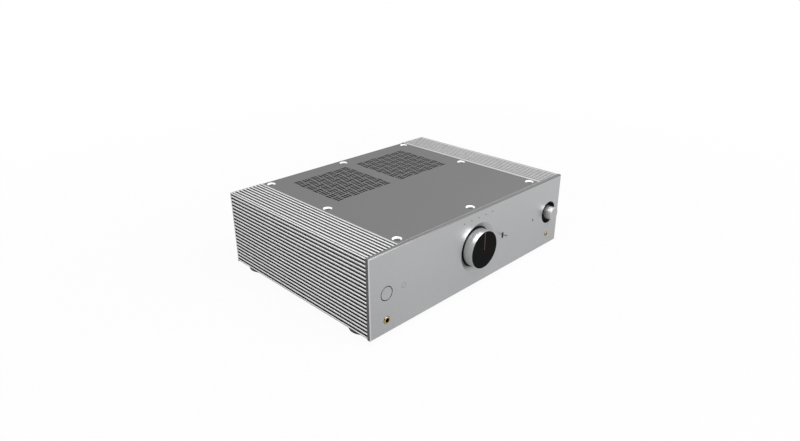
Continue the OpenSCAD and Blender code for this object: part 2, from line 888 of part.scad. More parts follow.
module remote_eye() {
    color(black) at_front(eye_x, control_z) translate([0, 0, front_y - front_board_y])
        cylinder(d = eye_d, h = front_board_y - front_y - eye_inset);
}

front_board_below = 12;
front_board_above = 3.5;
front_board_low = led_z - front_board_below;
front_board_high = led_z + front_board_above;
board_half = 50;
board_clear = 1;
eye_board_half = 10;
eye_board_below = 14;
eye_board_low = control_z - eye_board_below;
spacer_d = 5;
spacer_high = front_board_low + spacer_d;
spacer_low = eye_board_low + spacer_d;
led_spacer_x = 44;
eye_spacer_shift = 4;
eye_spacer_x = eye_x + eye_spacer_shift;
board_spacer_places = [
    [-led_spacer_x, spacer_high], [led_spacer_x, spacer_high], [eye_spacer_x, spacer_high],
    [eye_spacer_x, spacer_low]
];

module front_board() {
    color(board_green) translate([0, front_board_y + board_t, 0]) rotate([90, 0, 0])
        linear_extrude(board_t) {
            translate([-board_half, front_board_low])
                square([2 * board_half, front_board_high - front_board_low]);
            translate([-board_half, front_board_low]) square([
                eye_x + eye_board_half + board_half, top_z - flange_t - board_clear - front_board_low
            ]);
            translate([eye_x - eye_board_half, eye_board_low])
                square([2 * eye_board_half, front_board_low - eye_board_low]);
        }
}

module front_board_spacers() {
    color(steel) for (p = board_spacer_places)
        translate([p.x, front_board_y, p.y]) rotate([90, 0, 0]) cylinder(d = spacer_d, h = front_board_gap);
}

// Front jacks
module jack_ring(outer, sleeve, bore) {
    difference() {
        union() {
            cylinder(d = outer, h = ring_t);
            translate([0, 0, -panel_t - sheet_t]) cylinder(d = sleeve, h = panel_t + sheet_t + ring_t);
        }
        translate([0, 0, -panel_t - sheet_t - over])
            cylinder(d = bore, h = panel_t + sheet_t + ring_t + 2 * over);
    }
}

module jack_body(size, bore) {
    translate([0, 0, -panel_t - sheet_t]) difference() {
        block(size);
        translate([0, 0, jack_end_t - size.z]) cylinder(d = bore, h = size.z);
    }
}

module headphone_ring() {
    color(gold) at_front(-column_x, jack_axis_z) jack_ring(jack_ring_d, jack_sleeve_d, jack_plug_d);
}

module headphone_jack() {
    color(black) at_front(-column_x, jack_axis_z) jack_body(jack_box, jack_plug_d);
}

module aux_ring() {
    color(gold) at_front(column_x, jack_axis_z) jack_ring(mini_ring_d, mini_sleeve_d, mini_plug_d);
}

module aux_jack() {
    color(black) at_front(column_x, jack_axis_z) jack_body(mini_box, mini_plug_d);
}

// Power supply
module transformer() {
    color([0.75, 0.62, 0.25]) translate([toroid_x, toroid_y, plate_top]) rotate_extrude() polygon([
        [toroid_hole_r, toroid_round], [toroid_hole_r + toroid_round, 0],
        [toroid_r - toroid_round, 0], [toroid_r, toroid_round],
        [toroid_r, toroid_h - toroid_round], [toroid_r - toroid_round, toroid_h],
        [toroid_hole_r + toroid_round, toroid_h], [toroid_hole_r, toroid_h - toroid_round]
    ]);
}

module transformer_washer() {
    color(steel) translate([toroid_x, toroid_y, plate_top + toroid_h]) difference() {
        cylinder(r = toroid_r - toroid_round - washer_in, h = washer_t);
        translate([0, 0, -over]) cylinder(d = bolt_d + 2 * free, h = washer_t + 2 * over);
    }
}

module transformer_bolt() {
    color(steel) translate([toroid_x, toroid_y, 0]) {
        translate([0, 0, plate_top + toroid_h + washer_t])
            cylinder(d = bolt_head[0], h = bolt_head[1], $fn = 6);
        translate([0, 0, base_z - bolt_end])
            cylinder(d = bolt_d, h = bottom_t + toroid_h + washer_t + bolt_end);
        translate([0, 0, base_z - bolt_nut[1]]) nut(bolt_nut[0], bolt_d, bolt_nut[1]);
    }
}

module board(x, y, holes_x, holes_y) {
    translate([0, 0, board_z]) linear_extrude(board_t) difference() {
        translate([x[0], y[0]]) square([x[1] - x[0], y[1] - y[0]]);
        for (hx = holes_x, hy = holes_y) translate([hx, hy]) circle(d = m3[0] + 2 * free);
    }
}

power_hole_xs = [power_board_x[0] + board_hole_in, power_board_x[1] - board_hole_in];
power_hole_ys = [power_board_y[0] + board_hole_in, power_board_y[1] - 2 * board_hole_in];
main_hole_xs = [main_board_x[0] + board_hole_in, main_board_x[1] - board_hole_in];
main_hole_ys = [
    main_board_y[0] + board_hole_in, (main_board_y[0] + main_board_y[1]) / 2 - main_hole_shift,
    main_board_y[1] - main_hole_rear
];

module power_board() {
    color(board_green) {
        board(power_board_x, power_board_y, power_hole_xs, power_hole_ys);
        translate([
            capacitor_x + capacitor_pitch + capacitor_d / 2 + sink_gap, power_board_y[0] + sink_in, board_top
        ])
            cube(sink_size);
    }
}

module filter_capacitors() {
    color(black) for (col = [0:1], row = [0:1])
        translate([capacitor_x + col * capacitor_pitch, capacitor_y + row * capacitor_pitch, board_top])
            cylinder(d = capacitor_d, h = capacitor_h);
}

module main_board() {
    color(board_green) {
        board(main_board_x, main_board_y, main_hole_xs, main_hole_ys);
        for (row = [0:1], col = [0:3])
            translate([
                main_board_x[0] + chip_first.x + col * chip_pitch.x,
                main_board_y[0] + chip_first.y + row * chip_pitch.y, board_top
            ])
                cube(chip_size);
    }
}

module network_module() {
    color(steel) translate([module_x - module_size.x / 2, module_y - module_size.y / 2, board_top])
        cube(module_size);
}

module board_hole_places() {
    for (x = power_hole_xs, y = power_hole_ys) translate([x, y, 0]) children();
    for (x = main_hole_xs, y = main_hole_ys) translate([x, y, 0]) children();
}

module board_standoffs() {
    color(steel) board_hole_places() translate([0, 0, plate_top]) difference() {
        cylinder(d = standoff_d, h = standoff_h);
        translate([0, 0, standoff_floor]) cylinder(d = m3[0] + 2 * free, h = standoff_h);
    }
}

module board_screws() {
    color(steel) board_hole_places() translate([0, 0, board_top]) screw(m3, board_t + standoff_h - screw_end);
}

// Rear panel and its connectors
module rear_cut(size) {
    translate([0, 0, over]) block([size.x + 2 * seam, size.y + 2 * seam, sheet_t + 2 * over]);
}

module rear_hole(d) {
    translate([0, 0, -sheet_t - over]) cylinder(d = d, h = sheet_t + 2 * over);
}

module phono_places() {
    for (k = [0:phono_pairs - 1], z = [low_phono_z, phono_z])
        at_rear(phono_first_x + k * phono_pitch, base_z + z) children();
}

module xlr_places() {
    for (x = xlr_xs) at_rear(x, base_z + xlr_z) children();
}

module rear_panel() {
    color(black) difference() {
        folded_sheet(rear_in, rear_in - fold_rear);
        phono_places() rear_hole(phono_core_d + 2 * free);
        xlr_places() rear_hole(xlr_shell_d + 2 * free);
        at_rear(ethernet_x, board_top + ethernet_box.y / 2) rear_cut(ethernet_box);
        at_rear(usb_x, board_top + usb_box.y / 2) rear_cut(usb_box);
        for (x = optical_xs) at_rear(x, board_top + optical_box.y / 2) rear_cut(optical_box);
        for (x = trigger_xs) at_rear(x, board_top + trigger_box.y / 2) rear_hole(mini_sleeve_d + 2 * free);
        at_rear(inlet_x, inlet_z) rear_cut(inlet_body);
        at_rear(switch_x, switch_z) rear_cut(switch_body);
        at_rear(post_x, post_z) rear_hole(post_d + 2 * free);
        translate([0, rear_face, 0]) corner_bosses() rotate([-90, 0, 0]) flat_screw_hole();
        middle_screw_holes(rear_y - cover_screw_rear);
    }
}

module rear_screws() {
    color(steel) translate([0, rear_face, 0]) corner_bosses() rotate([-90, 0, 0]) flat_screw(flat_screw_l);
}

module phono_shells() {
    color(gold) phono_places() difference() {
        union() {
            translate([0, 0, phono_collar[1]]) cylinder(d = phono_nut[0], h = phono_nut[1]);
            translate([0, 0, phono_collar[1]]) cylinder(d = phono_shell_d, h = phono_out - phono_collar[1]);
        }
        cylinder(d = phono_core_d + 2 * free, h = phono_out + over);
    }
}

module phono_insulators() {
    color([0.86, 0.86, 0.84]) phono_places() difference() {
        union() {
            cylinder(d = phono_collar[0], h = phono_collar[1]);
            translate([0, 0, -phono_inside])
                cylinder(d = phono_core_d, h = phono_inside + phono_out - phono_tip);
        }
        translate([0, 0, -phono_inside + phono_floor])
            cylinder(d = phono_pin_hole, h = phono_inside + phono_out);
    }
}

module xlr_shells() {
    color(steel) xlr_places() difference() {
        union() {
            translate([0, 0, xlr_flange.z]) block(xlr_flange);
            translate([0, 0, -xlr_inside]) cylinder(d = xlr_shell_d, h = xlr_inside + xlr_flange.z);
        }
        translate([0, 0, -xlr_inside - over])
            cylinder(d = xlr_shell_d - 2 * xlr_wall, h = xlr_inside + xlr_flange.z + 2 * over);
    }
}

// The two sockets on the object's right are inputs with holes, the other two outputs with pins.
module xlr_inserts() {
    insert_d = xlr_shell_d - 2 * xlr_wall - 2 * free;
    color(black) for (k = [0:3]) at_rear(xlr_xs[k], base_z + xlr_z) {
        if (k < 2) {
            translate([0, 0, -xlr_inside]) {
                cylinder(d = insert_d, h = xlr_insert_t);
                xlr_contacts() cylinder(d = xlr_pin_d, h = xlr_insert_t + xlr_recess);
            }
        } else {
            difference() {
                translate([0, 0, -xlr_inside]) cylinder(d = insert_d, h = xlr_inside - xlr_face_in);
                xlr_contacts() translate([0, 0, -xlr_inside + xlr_hole_floor])
                    cylinder(d = xlr_hole_d, h = xlr_inside);
            }
        }
    }
}

module xlr_contacts() {
    for (a = [0, 120, 240]) rotate(a) translate([0, -xlr_contact_r, 0]) children();
}

// Board-mounted socket whose mouth is flush with the rear panel.
module board_socket(x, size, port) {
    at_rear(x, board_top + size.y / 2) difference() {
        block(size);
        translate([0, 0, over]) block([port.x, port.y, port.z + over]);
    }
}

module ethernet_socket() {
    color(steel) board_socket(ethernet_x, ethernet_box, ethernet_port);
}

module usb_socket() {
    color(steel) board_socket(usb_x, usb_box, usb_port);
}

module optical_sockets() {
    color(black) for (x = optical_xs) board_socket(x, optical_box, optical_port);
}

module trigger_jacks() {
    color(black) for (x = trigger_xs) at_rear(x, board_top + trigger_box.y / 2) difference() {
        union() {
            block(trigger_box, -sheet_t);
            translate([0, 0, -sheet_t - over])
                cylinder(d = mini_sleeve_d, h = sheet_t + over + trigger_out);
        }
        translate([0, 0, jack_end_t - trigger_box.z]) cylinder(d = mini_plug_d, h = trigger_box.z);
    }
}

module mains_inlet() {
    color(black) at_rear(inlet_x, inlet_z) difference() {
        union() {
            translate([0, 0, inlet_flange.z]) block(inlet_flange);
            block(inlet_body);
        }
        translate([0, inlet_port_up, inlet_flange.z + over])
            block([inlet_port.x, inlet_port.y, inlet_port.z + over]);
        translate([0, drawer_up, inlet_flange.z + over])
            block([drawer_size.x, drawer_size.y, drawer_size.z + drawer_room + over]);
    }
}

module inlet_pins() {
    color(gold) at_rear(inlet_x, inlet_z)
        for (p = inlet_blade_places)
            translate([p.x, inlet_port_up + p.y, inlet_flange.z - inlet_port.z + inlet_blade.z])
                block(inlet_blade);
}

module fuse_drawer() {
    color(black) at_rear(inlet_x, inlet_z) translate([0, drawer_up, inlet_flange.z]) {
        translate([0, 0, over]) block([
            drawer_size.x - 2 * drawer_free, drawer_size.y - 2 * drawer_free,
            drawer_size.z - drawer_end + over
        ]);
        translate([0, 0, drawer_free + drawer_lip.z]) block(drawer_lip);
    }
}

module mains_switch_body() {
    color(black) at_rear(switch_x, switch_z) difference() {
        union() {
            translate([0, 0, switch_flange.z]) block(switch_flange);
            block(switch_body);
        }
        translate([0, 0, switch_flange.z + over])
            block([switch_recess.x, switch_recess.y, switch_recess.z + over]);
        translate([0, 0, switch_flange.z - rocker_deep]) rotate([0, 90, 0])
            cylinder(d = rocker_pin_d + 2 * free, h = rocker_pin_l + 2 * free, center = true);
    }
}

module mains_rocker() {
    color(black) at_rear(switch_x, switch_z) translate([0, 0, switch_flange.z - rocker_deep])
        rotate([-rocker_tilt, 0, 0]) {
            half = rocker_size.y / 2;
            translate([-rocker_size.x / 2, 0, 0]) rotate([90, 0, 90]) linear_extrude(rocker_size.x)
                polygon([
                    [-half, -rocker_low], [half, -rocker_low], [half, rocker_high],
                    [0, rocker_middle], [-half, rocker_high]
                ]);
            rotate([0, 90, 0]) cylinder(d = rocker_pin_d, h = rocker_pin_l, center = true);
        }
}

module ground_post() {
    reach = rear_out + rear_inset;
    color(gold) at_rear(post_x, post_z) {
        translate([0, 0, -post_tail]) cylinder(d = post_d, h = post_tail + reach);
        cylinder(d = post_knob_d, h = post_nut_t, $fn = 6);
        translate([0, 0, post_cap_up]) cylinder(d = post_knob_d, h = reach - post_cap_up - post_tip);
    }
}

front_panel();
front_subframe();
side_profile_left();
side_profile_right();
top_cover();
bottom_plate();
rear_panel();
cover_screws();
subframe_screws();
panel_screws();
rear_screws();
bottom_screws();
feet();
foot_pads();
foot_screws();
volume_knob();
volume_knob_face();
volume_pointer();
volume_shaft();
volume_control();
volume_nut();
selector_knob();
selector_shaft();
selector_switch();
selector_nut();
power_button();
power_switch();
toggle_lever();
toggle_body();
input_leds();
remote_eye();
front_board();
front_board_spacers();
headphone_ring();
headphone_jack();
aux_ring();
aux_jack();
transformer();
transformer_washer();
transformer_bolt();
power_board();
filter_capacitors();
main_board();
network_module();
board_standoffs();
board_screws();
phono_shells();
phono_insulators();
xlr_shells();
xlr_inserts();
ethernet_socket();
usb_socket();
optical_sockets();
trigger_jacks();
mains_inlet();
inlet_pins();
fuse_drawer();
mains_switch_body();
mains_rocker();
ground_post();
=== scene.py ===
# %% [markdown]
# # The looks of a full-width preamplifier
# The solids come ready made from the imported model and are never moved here. This lesson gives each of
# them its finish, and replaces the turned pieces with smooth surfaces worked out with numpy. All
# lengths end up in metres, so one that is written in millimetres is multiplied by MM.

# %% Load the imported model
import json
import math
import bpy
import numpy as np
from mathutils import Matrix, Vector


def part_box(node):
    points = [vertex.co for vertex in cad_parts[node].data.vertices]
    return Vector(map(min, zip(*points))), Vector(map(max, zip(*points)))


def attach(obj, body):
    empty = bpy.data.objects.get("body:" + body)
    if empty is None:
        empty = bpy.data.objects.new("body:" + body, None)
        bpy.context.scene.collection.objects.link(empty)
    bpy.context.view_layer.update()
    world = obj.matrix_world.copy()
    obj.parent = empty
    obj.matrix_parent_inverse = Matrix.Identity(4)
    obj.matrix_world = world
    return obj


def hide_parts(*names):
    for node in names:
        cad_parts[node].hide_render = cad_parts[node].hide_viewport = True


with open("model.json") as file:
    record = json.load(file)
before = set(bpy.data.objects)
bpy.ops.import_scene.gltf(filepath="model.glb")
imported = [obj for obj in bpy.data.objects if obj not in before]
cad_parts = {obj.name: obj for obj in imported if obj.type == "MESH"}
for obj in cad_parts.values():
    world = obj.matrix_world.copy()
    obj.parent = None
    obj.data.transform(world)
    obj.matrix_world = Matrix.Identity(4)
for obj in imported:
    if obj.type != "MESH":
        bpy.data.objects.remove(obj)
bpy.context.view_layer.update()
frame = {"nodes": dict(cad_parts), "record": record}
MM = 0.001

panel_low, panel_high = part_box("front_panel")
front_y, base_z, top_z, half_width = panel_low[1], panel_low[2], panel_high[2], panel_high[0]
print("front face at", front_y, "body from", base_z, "to", top_z, "half its width", half_width)

# %% [markdown]
# ## The camera
# A product picture is easiest to match when the camera is written as a person would set up a tripod:
# a place, a heading, a tilt and a lens. A camera that is aimed at a point by a constraint is quicker to
# write, but these numbers can be solved from the body's own parallel edges, and then they stay as
# found. The place is given from the middle of the body's front lower edge, and the small roll turns
# the picture as it was taken.

# %% Set up the camera
camera_from_front = Vector((-646.9, -488.2, 458.9)) * MM
heading, tilt, roll = -44.84, -23.93, -0.12
camera_data = bpy.data.cameras.new("camera")
camera_data.lens = 27.5
camera_data.sensor_width = 36
camera_data.clip_start = 0.05
camera_data.clip_end = 50
camera = bpy.data.objects.new("camera", camera_data)
bpy.context.scene.collection.objects.link(camera)
place = Matrix.Translation(camera_from_front + Vector((0, front_y, base_z)))
turn_z = Matrix.Rotation(math.radians(heading), 4, "Z")
turn_x = Matrix.Rotation(math.radians(90 + tilt), 4, "X")
camera.matrix_world = place @ (turn_z @ turn_x) @ Matrix.Rotation(math.radians(roll), 4, "Z")
bpy.context.scene.camera = camera
bpy.context.scene.view_settings.view_transform = "Standard"
print("camera at", [round(value, 4) for value in camera.matrix_world.translation])

# %% [markdown]
# ## Helpers for shader nodes
# Every finish below is a small net of nodes. Such a net can be drawn by hand in the shader editor, or
# written out node by node. A few helpers keep the written form short: each adds a node, fills its
# sockets, and gives back what comes out, so that a finish reads as a list of what goes into what.


# %% Add nodes
def add_node(tree, kind, values=None, **settings):
    """Adds a node, sets its settings, and gives each named socket a number, a colour or a link."""
    node = tree.nodes.new(kind)
    for name, value in settings.items():
        setattr(node, name, value)
    for name, value in (values or {}).items():
        socket = node.inputs[name]
        if isinstance(value, bpy.types.NodeSocket):
            tree.links.new(value, socket)
        else:
            socket.default_value = value
    return node


def math_node(tree, operation, *values):
    """Works out one sum from its values in order."""
    return add_node(tree, "ShaderNodeMath", dict(enumerate(values)), operation=operation).outputs[0]


def ramp(tree, value, start, end, low=0.0, high=1.0, curve="LINEAR"):
    """Goes from low to high while the value goes from start to end, and stays level outside."""
    return add_node(tree, "ShaderNodeMapRange", {
        "Value": value, "From Min": start, "From Max": end, "To Min": low, "To Max": high},
        interpolation_type=curve).outputs["Result"]


def parts_of(tree, coordinate):
    """The x, y and z of a texture coordinate: Object is a point's place, and Normal its direction."""
    given = add_node(tree, "ShaderNodeTexCoord").outputs[coordinate]
    return add_node(tree, "ShaderNodeSeparateXYZ", {"Vector": given}).outputs


def both(tree, one, other):
    """1 where two masks are both 1: their product."""
    return math_node(tree, "MULTIPLY", one, other)


def opposite(tree, mask):
    """1 where a mask is 0: one less the mask."""
    return math_node(tree, "SUBTRACT", 1.0, mask)


# %% Colours
def rgba(*colour):
    """Turns one grey or three numbers into a colour with full alpha."""
    red, green, blue = colour if len(colour) == 3 else colour * 3
    return (red, green, blue, 1)


def blend_colour(tree, factor, low, high):
    """Mixes two colours: low times (1 - factor), plus high times factor."""
    factor_at, low_at, high_at = 0, 6, 7
    mix = add_node(tree, "ShaderNodeMix", {factor_at: factor, low_at: low, high_at: high},
                   data_type="RGBA")
    return mix.outputs[2]


# %% Materials and groups
FLOAT, COLOUR, VECTOR = "NodeSocketFloat", "NodeSocketColor", "NodeSocketVector"


def new_material(name):
    """Makes a material with an empty net, and returns it with its net."""
    material = bpy.data.materials.new(name)
    material.use_nodes = True
    material.node_tree.nodes.clear()
    return material, material.node_tree


def new_group(name, inputs, outputs):
    """Makes a node group. Inputs are given as name to kind and value, outputs as name to kind."""
    group = bpy.data.node_groups.new(name, "ShaderNodeTree")
    for label, (kind, value) in inputs.items():
        socket = group.interface.new_socket(label, in_out="INPUT", socket_type=kind)
        socket.default_value = value
    for label, kind in outputs.items():
        group.interface.new_socket(label, in_out="OUTPUT", socket_type=kind)
    start = group.nodes.new("NodeGroupInput")
    end = group.nodes.new("NodeGroupOutput")
    return group, start.outputs, end.inputs

# %% [markdown]
# ## Grain
# Anodised aluminium, paint and moulded plastic all have a fine grain. It differs in size, in how far
# it is drawn out in one direction, as along an extrusion, and in how strongly it changes the tone. A
# photograph of each surface could give it, but noise has no seams and no edge, and works at any scale.
# One group makes it: a fine layer gives the tooth of the surface, and a broad one gives the slow drift
# of tone.


# %% Grain group
def make_grain_group():
    """Colour times 1 + tone (fine - 1/2) + drift (slow - 1/2). The fine noise is also the height, and
    moves the roughness a little."""
    group, given, result = new_group(
        "grain",
        {"Color": (COLOUR, (0.5, 0.5, 0.5, 1)), "Stretch": (VECTOR, (1, 1, 1)),
         "Scale": (FLOAT, 4000.0), "Tone": (FLOAT, 0.05), "Drift": (FLOAT, 0.04),
         "Roughness": (FLOAT, 0.4)},
        {"Color": COLOUR, "Roughness": FLOAT, "Height": FLOAT})
    slow_scale, roughness_change = 9.0, 0.15
    place = add_node(group, "ShaderNodeTexCoord").outputs["Object"]
    drawn = add_node(group, "ShaderNodeVectorMath", {0: place, 1: given["Stretch"]},
                     operation="MULTIPLY")
    fine = add_node(group, "ShaderNodeTexNoise", {
        "Vector": drawn.outputs[0], "Scale": given["Scale"], "Detail": 3.0}).outputs["Fac"]
    slow = add_node(group, "ShaderNodeTexNoise", {
        "Vector": place, "Scale": slow_scale, "Detail": 1.0}).outputs["Fac"]
    fine_centred = math_node(group, "SUBTRACT", fine, 0.5)
    slow_centred = math_node(group, "SUBTRACT", slow, 0.5)
    tone = math_node(group, "MULTIPLY_ADD", fine_centred, given["Tone"], 1.0)
    tone = math_node(group, "MULTIPLY_ADD", slow_centred, given["Drift"], tone)
    coloured = add_node(group, "ShaderNodeVectorMath", {0: given["Color"], "Scale": tone},
                        operation="SCALE")
    rough = math_node(group, "MULTIPLY_ADD", fine_centred, roughness_change, given["Roughness"])
    group.links.new(coloured.outputs[0], result["Color"])
    group.links.new(rough, result["Roughness"])
    group.links.new(fine, result["Height"])
    return group


grain_group = make_grain_group()
print("group", grain_group.name, "with", len(grain_group.nodes), "nodes")

# %% [markdown]
# ## Masks
# The ends of the panel and the bottoms of grooves get painted shade, and the panel's upright bevels a
# painted highlight, which a broad face doesn't have. Such places could be painted on a UV map, but the
# imported solids have none. So two groups find them from the surface itself: one by the way a face
# looks, and one by its depth below the body's outer skin.


# %% Mask groups
def make_facing_group():
    """Mask: the size of normal . axis, spread from 0 at Start to 1 at End."""
    group, given, result = new_group(
        "facing", {"Axis": (VECTOR, (0, 0, 1)), "Start": (FLOAT, 0.7), "End": (FLOAT, 0.9)},
        {"Mask": FLOAT})
    normal = add_node(group, "ShaderNodeTexCoord").outputs["Normal"]
    along = add_node(group, "ShaderNodeVectorMath", {0: normal, 1: given["Axis"]},
                     operation="DOT_PRODUCT").outputs["Value"]
    mask = ramp(group, math_node(group, "ABSOLUTE", along), given["Start"], given["End"])
    group.links.new(mask, result["Mask"])
    return group


def make_depth_group():
    """Depth: the smaller of half width - |x|, to the side face, and top - z, to the top face."""
    group, given, result = new_group(
        "depth_below_skin", {"Half Width": (FLOAT, 0.2), "Top": (FLOAT, 0.1)}, {"Depth": FLOAT})
    x, _, z = parts_of(group, "Object")
    from_side = math_node(group, "SUBTRACT", given["Half Width"], math_node(group, "ABSOLUTE", x))
    from_top = math_node(group, "SUBTRACT", given["Top"], z)
    group.links.new(math_node(group, "MINIMUM", from_side, from_top), result["Depth"])
    return group


facing_group, depth_group = make_facing_group(), make_depth_group()
AXES = {"X": (1, 0, 0), "Y": (0, 1, 0), "Z": (0, 0, 1)}
print("groups", facing_group.name, "and", depth_group.name)


def faces_towards(tree, axis, start=0.7, end=0.9):
    """1 where a face looks along +axis or -axis of the object, and 0 elsewhere."""
    return add_node(tree, "ShaderNodeGroup", {"Axis": AXES[axis], "Start": start, "End": end},
                    node_tree=facing_group).outputs["Mask"]


def depth_below_skin(tree):
    """The distance to the nearer of the body's side and top faces, in metres."""
    return add_node(tree, "ShaderNodeGroup", {"Half Width": half_width, "Top": top_z},
                    node_tree=depth_group).outputs["Depth"]

# %% [markdown]
# ## Surfaces
# A metal is a Principled shader with full Metallic, whose colour is what it reflects, and a plastic or
# a coat of paint is one with none. A shader of its own could be built up for each from glossy and
# diffuse ones, but the Principled keeps their energy right. The functions below finish any surface:
# the grain group feeds the colour, the roughness and a very shallow bump.


# %% Finish a surface
def grain(tree, colour, scale, stretch=(1, 1, 1), tone=0.05, drift=0.04, roughness=0.4):
    """Places the grain group with its values."""
    return add_node(tree, "ShaderNodeGroup", {
        "Color": colour, "Stretch": stretch, "Scale": scale, "Tone": tone, "Drift": drift,
        "Roughness": roughness}, node_tree=grain_group)


def finish_surface(material, tree, grained, metallic, bump, specular=0.5):
    """Ends a net: the grained colour, roughness and height go into one Principled shader."""
    height = add_node(tree, "ShaderNodeBump", {
        "Height": grained.outputs["Height"], "Strength": 1.0, "Distance": bump})
    shader = add_node(tree, "ShaderNodeBsdfPrincipled", {
        "Base Color": grained.outputs["Color"], "Roughness": grained.outputs["Roughness"],
        "Metallic": metallic, "Normal": height.outputs["Normal"], "Specular IOR Level": specular})
    add_node(tree, "ShaderNodeOutputMaterial", {"Surface": shader.outputs[0]})
    return material


def plain_finish(name, colour, scale=4000.0, stretch=(1, 1, 1), metallic=0.0, bump=0.02 * MM,
                 specular=0.5, **values):
    """A surface of one colour with its own grain."""
    material, tree = new_material(name)
    grained = grain(tree, colour, scale, stretch, **values)
    return finish_surface(material, tree, grained, metallic, bump, specular)

# %% [markdown]
# ## The front panel's aluminium
# The panel is bead blasted and clear anodised. Its broad face is bright, and painted shade makes its
# ends darker and its top a little darker, a painted highlight brightens its upright bevels, and painted
# shade blackens the walls of its small holes, where no light reaches.
# Each of these could be a material of its own on its own faces, but then the seams between them would
# be hard lines. One material with soft masks keeps the metal in one piece.

# %% Panel aluminium
# Painted shade on the ends, the top and the hole walls, and a painted highlight on the upright bevels.
panel_face, painted_end_shade, painted_top_shade = rgba(0.44, 0.445, 0.45), rgba(0.11), rgba(0.19)
painted_bevel_highlight, painted_hole_shade = rgba(0.62), rgba(0.02)
panel_skin = 3.0 * MM
selector_well_from_x = 100 * MM


def make_panel_finish():
    """Bright satin on the broad face, painted shade darker on the ends and middling along the top, a
    painted highlight on the upright bevels, and painted shade nearly black in the holes, but not in the
    selector's wide well."""
    material, tree = new_material("panel_aluminium")
    # Painted shade: the ends and the top are darker because of the way they face.
    ends_shaded = blend_colour(tree, faces_towards(tree, "X"), panel_face, painted_end_shade)
    outside = blend_colour(tree, faces_towards(tree, "Z"), ends_shaded, painted_top_shade)
    inside = math_node(tree, "GREATER_THAN", depth_below_skin(tree), panel_skin)
    # Painted shade: the walls of the small holes turn nearly black.
    wall = both(tree, inside, opposite(tree, faces_towards(tree, "Y", 0.2, 0.3)))
    x = parts_of(tree, "Object")["X"]
    left_of_well = math_node(tree, "LESS_THAN", x, selector_well_from_x)
    holes_shaded = blend_colour(tree, both(tree, wall, left_of_well), outside, painted_hole_shade)
    # Painted highlight on the upright bevels, and painted shade on the bevels that face up.
    sloping, flat = faces_towards(tree, "Y", 0.55, 0.6), faces_towards(tree, "Y", 0.85, 0.9)
    bevel = both(tree, math_node(tree, "SUBTRACT", sloping, flat), opposite(tree, inside))
    edge = blend_colour(tree, faces_towards(tree, "Z", 0.3, 0.5), painted_bevel_highlight, painted_top_shade)
    colour = blend_colour(tree, bevel, holes_shaded, edge)
    grained = grain(tree, colour, 2500.0, tone=0.05, drift=0.06, roughness=0.36)
    return finish_surface(material, tree, grained, metallic=0.9, bump=0.01 * MM)


panel_aluminium = make_panel_finish()
print(panel_aluminium.name, "with", len(panel_aluminium.node_tree.nodes), "nodes")

# %% [markdown]
# ## The extrusions' aluminium
# A fin catches light on its rounded tip, and the groove beside it lies in its shade. That shade is
# painted: the depth below the nearest outer face, worked out from the object's coordinates, darkens the
# colour into each groove, lighter higher up, and follows every fin without a drawn line. Painted shade
# also darkens the lower edge, and the right-hand top strip's tips, though both extrusions are alike.

# %% Fin aluminium
fin_depth, slack = 3.5 * MM, 0.05 * MM
tip_ends, groove_starts = 0.25 * MM, 1.1 * MM
# The right-hand top strip's tips are a darker copy of the left's: painted shade.
side_tip, left_top_tip, right_top_tip_shaded = rgba(0.72), rgba(0.65), rgba(0.55)
# The grooves' tones are painted shade, lighter higher up.
low_groove_shade, high_groove_shade, top_groove_shade = rgba(0.115), rgba(0.26), rgba(0.255)
# The near black of the lower edge is painted shade.
core_tone, painted_low_edge_shade, low_edge = rgba(0.22), rgba(0.01), 2.4 * MM


def make_fin_finish():
    """Bright tips, darker by painted shade on the right-hand top strip, grooves darkened by painted
    shade that grows lighter upwards, a middle tone on the flanges and inside the channel, and painted
    shade on the lower edge, which faces the shade under the object."""
    material, tree = new_material("fin_aluminium")
    depth = depth_below_skin(tree)
    x, _, z = parts_of(tree, "Object")
    # Painted shade: deeper below the skin, the colour turns to the grooves' tone.
    into_groove = ramp(tree, depth, tip_ends, groove_starts, curve="SMOOTHSTEP")
    below_groove = ramp(tree, depth, fin_depth + slack, fin_depth + 2 * slack)
    on_top = math_node(tree, "GREATER_THAN", z, top_z - fin_depth - slack)
    # Painted shade on the right-hand strip's tips.
    on_right = math_node(tree, "GREATER_THAN", x, 0.0)
    side_groove = blend_colour(tree, ramp(tree, z, base_z, top_z), low_groove_shade, high_groove_shade)
    groove = blend_colour(tree, on_top, side_groove, top_groove_shade)
    top_tip = blend_colour(tree, on_right, left_top_tip, right_top_tip_shaded)
    tip = blend_colour(tree, on_top, side_tip, top_tip)
    skin = blend_colour(tree, into_groove, tip, groove)
    solid = blend_colour(tree, below_groove, skin, core_tone)
    # Painted shade along the lower edge.
    low_edge_shaded = math_node(tree, "LESS_THAN", z, base_z + low_edge)
    colour = blend_colour(tree, low_edge_shaded, solid, painted_low_edge_shade)
    grained = grain(tree, colour, 3000.0, stretch=(1, 0.05, 1), tone=0.10, drift=0.05,
                    roughness=0.32)
    return finish_surface(material, tree, grained, metallic=0.6, bump=0.01 * MM)


fin_aluminium = make_fin_finish()
print(fin_aluminium.name, "with", len(fin_aluminium.node_tree.nodes), "nodes")

# %% [markdown]
# ## The cover's coating
# The cover is coated dark grey, and its screw recesses are milled through the coating, so their cones
# are bare and bright, and painted shade darkens their lower part. A painted highlight draws its front
# edge, behind the panel, as a thin paler line. Painted shade keeps the slots' walls black inside the
# vents, where light falls away quickly. The recesses could be pieces of their own with a bare finish,
# but height and slope pick them out of the one sheet just as well.

# %% Cover coating
cover_low, cover_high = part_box("top_cover")
print("cover from", cover_low, "to", cover_high)
# The paler front edge is a painted highlight, and the near black of the slot walls is painted shade.
coat, painted_edge_highlight, painted_slot_shade = rgba(0.15), rgba(0.45), rgba(0.002)
# The lower part of each screw cone is painted shade.
painted_cone_shade, bare_cone = rgba(0.15), rgba(0.95)
cone_slope, slope_range = 0.707, 0.12


